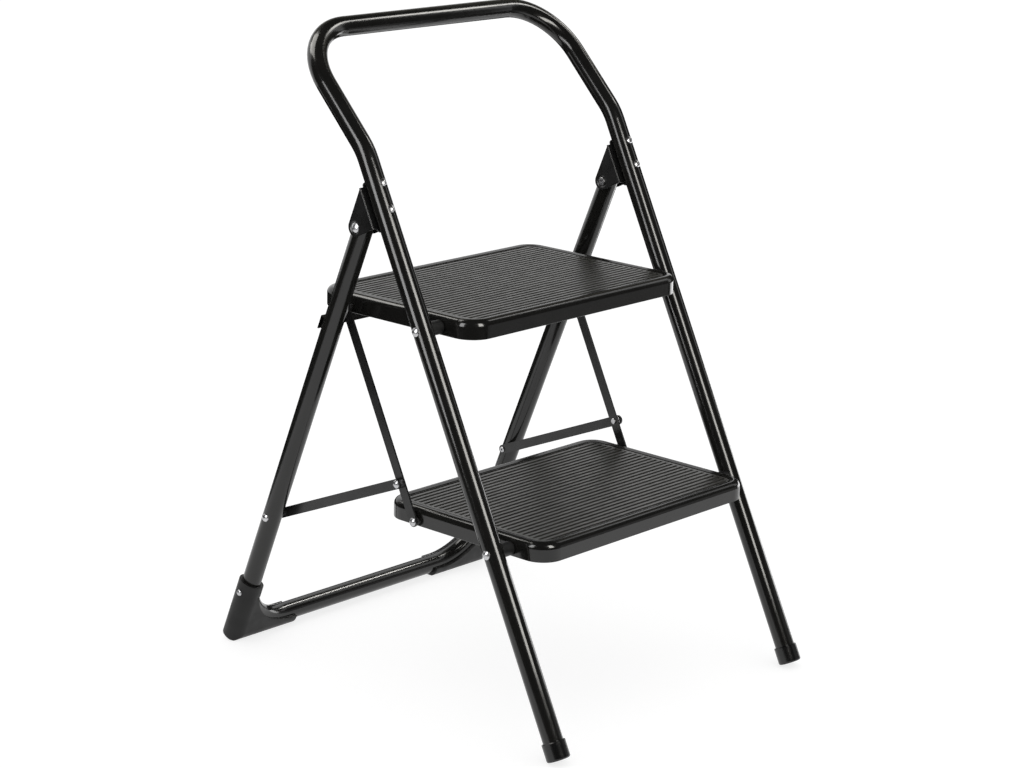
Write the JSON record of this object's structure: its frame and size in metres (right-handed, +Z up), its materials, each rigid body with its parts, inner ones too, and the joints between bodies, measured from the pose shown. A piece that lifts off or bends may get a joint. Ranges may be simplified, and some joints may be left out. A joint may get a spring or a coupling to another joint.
{
  "type": "two-step folding ladder",
  "caption": "Folding step ladder of bent round tube with a grab hoop, ribbed treads that swing up, a hinged rear frame, flat linkage bars and moulded feet.",
  "frame": {"origin": "on the floor, midway across the ladder and midway between its front toes and its rear heels", "axes": "+Z up, +Y from the front of the ladder to its rear, +X to the right of a person who climbs it"},
  "size_m": [0.4968, 0.607, 0.8363],
  "materials": {
    "gloss_black_paint": "gloss black powder coat",
    "satin_black_paint": "satin black powder coat",
    "bright_zinc": "bright zinc plate",
    "black_rubber": "moulded ribs, matte",
    "matte_black_plastic": "fine moulded grain",
    "gloss_black_plastic": "smooth moulded"
  },
  "bodies": {
    "front_frame": {"bracket_rivets": "bright_zinc", "foot_cap_left": "gloss_black_plastic", "foot_cap_right": "gloss_black_plastic", "front_frame_tube": "gloss_black_paint", "hinge_bracket_left": "satin_black_paint", "hinge_bracket_right": "satin_black_paint", "hinge_pins": "bright_zinc", "lower_pivot_bush_left": "matte_black_plastic", "lower_pivot_bush_right": "matte_black_plastic", "lower_pivot_rivets": "bright_zinc", "upper_pivot_bush_left": "matte_black_plastic", "upper_pivot_bush_right": "matte_black_plastic", "upper_pivot_rivets": "bright_zinc"},
    "rear_frame": {"boot_rivets": "bright_zinc", "link_rear_rivets": "bright_zinc", "link_rear_spacer_left": "bright_zinc", "link_rear_spacer_right": "bright_zinc", "rear_boot_left": "matte_black_plastic", "rear_boot_right": "matte_black_plastic", "rear_crossbar": "gloss_black_paint", "rear_frame_tube": "gloss_black_paint"},
    "upper_step": {"upper_hanger_rivets": "bright_zinc", "upper_hanger_spacers": "bright_zinc", "upper_tread_mat": "black_rubber", "upper_tread_tray": "gloss_black_paint"},
    "lower_step": {"lower_hanger_rivets": "bright_zinc", "lower_hanger_spacers": "bright_zinc", "lower_tread_mat": "black_rubber", "lower_tread_tray": "gloss_black_paint"},
    "left_hanger": {"hanger_left": "satin_black_paint", "hanger_stud_left": "bright_zinc"},
    "right_hanger": {"hanger_right": "satin_black_paint", "hanger_stud_right": "bright_zinc"},
    "left_link": {"link_left": "satin_black_paint", "link_rivet_left": "bright_zinc"},
    "right_link": {"link_right": "satin_black_paint", "link_rivet_right": "bright_zinc"}
  },
  "joints": [
    {"name": "rear_fold", "type": "hinge", "parent": "front_frame", "child": "rear_frame", "pos_m": [0, 0.05058, 0.60015], "axis": [-1, 0, 0], "range_deg": [0, 47.73]},
    {"name": "upper_step_fold", "type": "hinge", "parent": "front_frame", "child": "upper_step", "pos_m": [0, -0.0523, 0.48814], "axis": [1, 0, 0], "range_deg": [0, 59.75]},
    {"name": "lower_step_fold", "type": "hinge", "parent": "front_frame", "child": "lower_step", "pos_m": [0, -0.17658, 0.23667], "axis": [1, 0, 0], "range_deg": [0, 59.75]},
    {"name": "left_hanger_pivot", "type": "hinge", "parent": "upper_step", "child": "left_hanger", "pos_m": [0, 0.1072, 0.48314], "axis": [-1, 0, 0], "range_deg": [0, 59.75]},
    {"name": "right_hanger_pivot", "type": "hinge", "parent": "upper_step", "child": "right_hanger", "pos_m": [0, 0.1072, 0.48314], "axis": [-1, 0, 0], "range_deg": [0, 59.75]},
    {"name": "left_link_pivot", "type": "hinge", "parent": "rear_frame", "child": "left_link", "pos_m": [0, 0.21687, 0.18857], "axis": [-1, 0, 0], "range_deg": [0, 38.01]},
    {"name": "right_link_pivot", "type": "hinge", "parent": "rear_frame", "child": "right_link", "pos_m": [0, 0.21687, 0.18857], "axis": [-1, 0, 0], "range_deg": [0, 38.01]}
  ],
  "couplings": [
    {"joint": "upper_step_fold", "follows": "rear_fold", "ratio": 1.2516},
    {"joint": "lower_step_fold", "follows": "rear_fold", "ratio": 1.2516},
    {"joint": "left_hanger_pivot", "follows": "rear_fold", "ratio": 1.2516},
    {"joint": "right_hanger_pivot", "follows": "rear_fold", "ratio": 1.2516},
    {"joint": "left_link_pivot", "follows": "rear_fold", "ratio": 0.79615},
    {"joint": "right_link_pivot", "follows": "rear_fold", "ratio": 0.79615}
  ]
}
